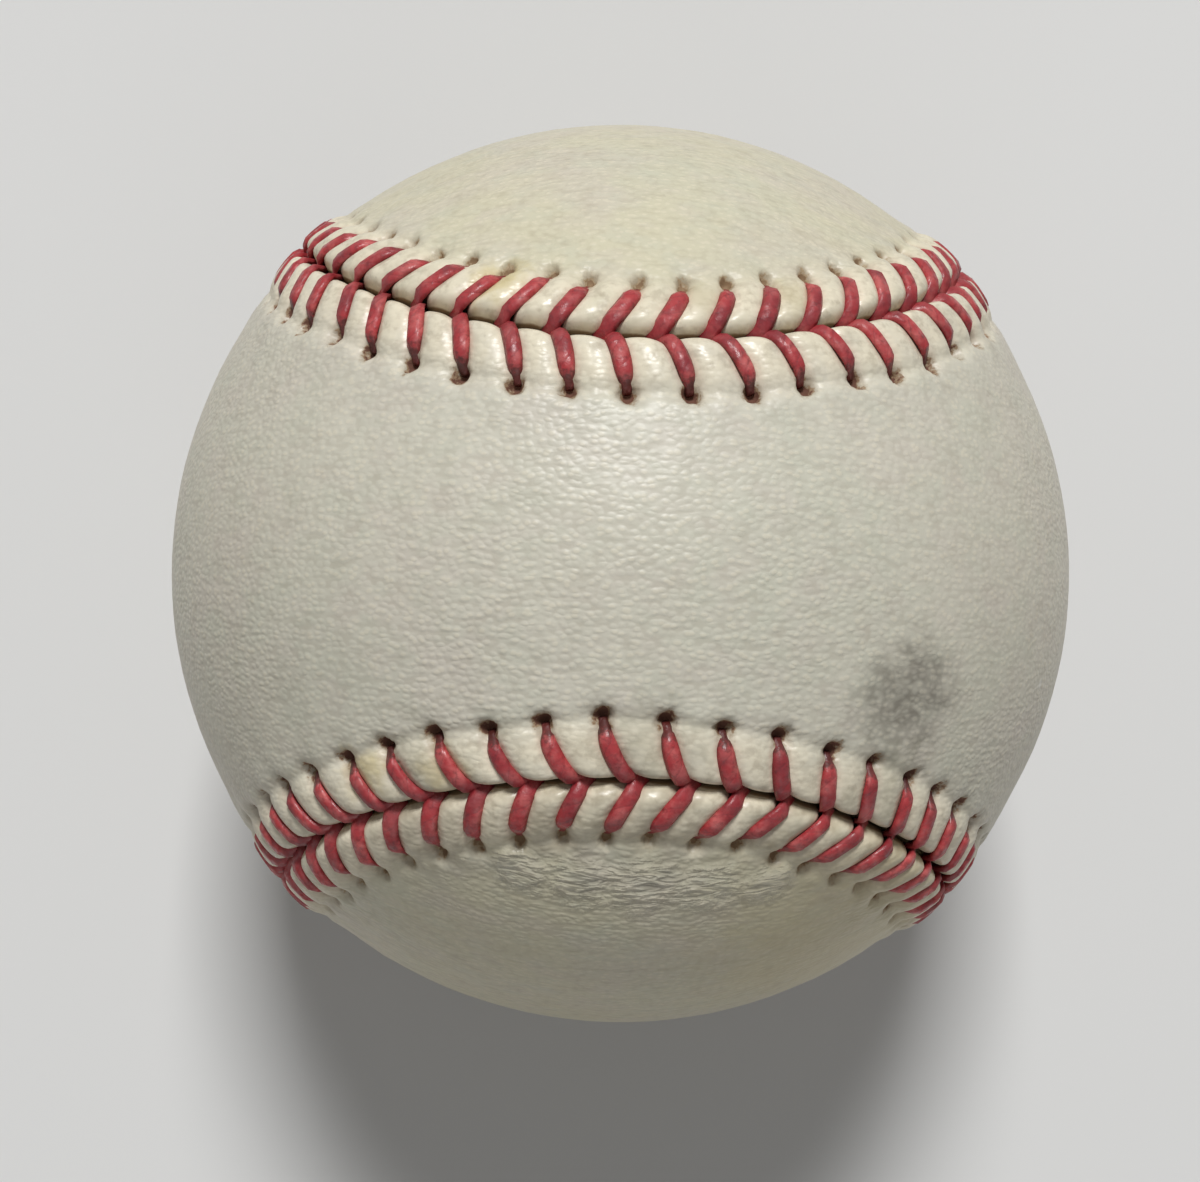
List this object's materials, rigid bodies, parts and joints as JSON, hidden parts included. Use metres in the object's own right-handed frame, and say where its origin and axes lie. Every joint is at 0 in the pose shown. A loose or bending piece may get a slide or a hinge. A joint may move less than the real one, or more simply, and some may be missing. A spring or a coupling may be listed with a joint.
{
  "type": "baseball",
  "caption": "Wound sports ball with a cork and rubber core, wool windings and a white leather cover of interlocked figure-eight panels, sewn with raised red thread.",
  "frame": {"origin": "centre of the ball", "axes": "+Z leaves through the middle of cover panel A's waist and -Z through the middle of panel B's; panel A's round lobes lie at +X and -X, panel B's at +Y and -Y"},
  "size_m": [0.0742, 0.0742, 0.0742],
  "materials": {
    "leather": "pebbled white hide, slightly glossy, worn and stained",
    "thread": "waxed twisted cotton thread",
    "cork": "granular cork and rubber mix",
    "black_rubber": "moulded matt rubber",
    "red_rubber": "moulded matt rubber",
    "grey_wool": "tightly wound wool yarn",
    "white_wool": "tightly wound wool yarn",
    "cotton": "tightly wound fine cotton yarn",
    "cement": "thin dried rubber cement"
  },
  "bodies": {
    "root": {"cork_core": "cork", "black_rubber_shell_top": "black_rubber", "black_rubber_shell_bottom": "black_rubber", "red_rubber_gasket": "red_rubber", "red_rubber_half_left": "red_rubber", "red_rubber_half_right": "red_rubber", "grey_wool_inner_winding": "grey_wool", "white_wool_winding": "white_wool", "grey_wool_outer_winding": "grey_wool", "cotton_finish_winding": "cotton", "cement_film": "cement", "cover_panel_a": "leather", "cover_panel_b": "leather", "stitching_panel_a": "thread", "stitching_panel_b": "thread"}
  },
  "joints": []
}
